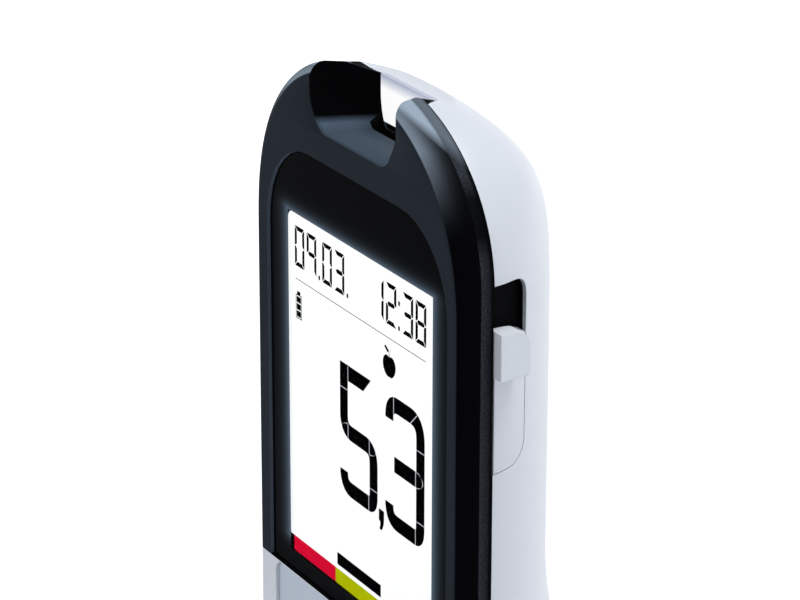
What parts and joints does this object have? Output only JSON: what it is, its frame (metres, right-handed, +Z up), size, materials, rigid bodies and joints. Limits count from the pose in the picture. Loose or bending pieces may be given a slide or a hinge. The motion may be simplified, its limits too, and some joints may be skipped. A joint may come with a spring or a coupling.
{
  "type": "blood glucose meter",
  "caption": "Slim upright blood glucose meter with a rounded dark front, lit display, strip port at the crown, side slider and a lancing unit on its foot.",
  "frame": {"origin": "middle of the foot, under the middle of the box round the whole meter", "axes": "+X to the right seen from the front, +Y from the display towards the back, +Z up the meter's length"},
  "size_m": [0.029, 0.016, 0.1229],
  "materials": {
    "dark_case": "satin, fine grain",
    "white_case": "smooth satin white",
    "pale_panel": "smooth pale grey",
    "grip_grey": "smooth light grey",
    "soft_grey": "soft grey",
    "window_black": "polished black window",
    "lit_panel": "lit white",
    "circuit_board": "green solder mask",
    "black_plastic": "moulded black",
    "plated_steel": "plated",
    "contact_brass": "gold plated",
    "lancet_blue": "moulded blue"
  },
  "bodies": {
    "meter_body": {"front_shell": "dark_case", "lower_front_housing": "white_case", "rear_shell": "white_case", "key_panel": "pale_panel", "display_window": "window_black", "lcd_panel": "lit_panel", "lcd_backlight": "lit_panel", "lcd_connector": "soft_grey", "strip_light_guide": "lit_panel", "strip_port_led": "lit_panel", "strip_connector": "black_plastic", "strip_contact_1": "contact_brass", "strip_contact_2": "contact_brass", "strip_contact_3": "contact_brass", "main_board": "circuit_board", "main_chip": "black_plastic", "memory_chip": "black_plastic", "switch_up": "plated_steel", "switch_down": "plated_steel", "coin_cell_1": "plated_steel", "coin_cell_2": "plated_steel", "battery_contact_minus": "plated_steel", "battery_contact_plus": "plated_steel", "ejector_spring": "plated_steel", "case_screw_left": "plated_steel", "case_screw_right": "plated_steel", "usb_plug_shell": "plated_steel", "usb_plug_tongue": "black_plastic", "usb_contact_1": "contact_brass", "usb_contact_2": "contact_brass", "usb_contact_3": "contact_brass", "usb_contact_4": "contact_brass"},
    "battery_door": {"battery_door": "white_case"},
    "key_up": {"button_up": "grip_grey"},
    "key_down": {"button_down": "grip_grey"},
    "strip_ejector": {"ejector_slider": "grip_grey"},
    "lancing_unit": {"lancing_front_shell": "white_case", "lancing_rear_shell": "white_case", "lancing_screw_left": "plated_steel", "lancing_screw_right": "plated_steel", "drive_spring": "plated_steel", "return_spring": "plated_steel"},
    "lancet_drive": {"lancet_carrier": "pale_panel", "lancet_body": "lancet_blue", "lancet_needle": "plated_steel", "cocking_slider": "grip_grey"},
    "trigger": {"trigger_button": "grip_grey"},
    "depth_wheel": {"depth_dial": "soft_grey"},
    "end_cap": {"end_cap": "white_case"}
  },
  "joints": [
    {"name": "strip_ejector_slide", "type": "slide", "parent": "meter_body", "child": "strip_ejector", "axis": [0, 0, 1], "range_m": [0, 0.0026], "stiffness_N_per_m": 300, "springref_m": -0.002, "deforming": ["ejector_spring"]},
    {"name": "key_up_press", "type": "slide", "parent": "meter_body", "child": "key_up", "axis": [0, 1, 0], "range_m": [0, 0.0006], "stiffness_N_per_m": 1500, "springref_m": -0.0002},
    {"name": "key_down_press", "type": "slide", "parent": "meter_body", "child": "key_down", "axis": [0, 1, 0], "range_m": [0, 0.0006], "stiffness_N_per_m": 1500, "springref_m": -0.0002},
    {"name": "battery_door_pull_off", "type": "slide", "parent": "meter_body", "child": "battery_door", "axis": [0, 1, 0], "range_m": [0, 0.008]},
    {"name": "lancing_unit_pull_off", "type": "slide", "parent": "meter_body", "child": "lancing_unit", "axis": [0, 0, -1], "range_m": [0, 0.014]},
    {"name": "end_cap_pull_off", "type": "slide", "parent": "lancing_unit", "child": "end_cap", "axis": [0, 0, -1], "range_m": [0, 0.008]},
    {"name": "lancet_drive_slide", "type": "slide", "parent": "lancing_unit", "child": "lancet_drive", "axis": [0, 0, 1], "range_m": [-0.0025, 0.005], "stiffness_N_per_m": 400, "deforming": ["drive_spring", "return_spring"]},
    {"name": "trigger_press", "type": "slide", "parent": "lancing_unit", "child": "trigger", "axis": [0, 1, 0], "range_m": [0, 0.0008], "stiffness_N_per_m": 2000, "springref_m": -0.0002},
    {"name": "depth_wheel_turn", "type": "hinge", "parent": "lancing_unit", "child": "depth_wheel", "pos_m": [0.00932, 0, 0.019], "axis": [0, 0, 1], "range_deg": [0, 240]}
  ]
}
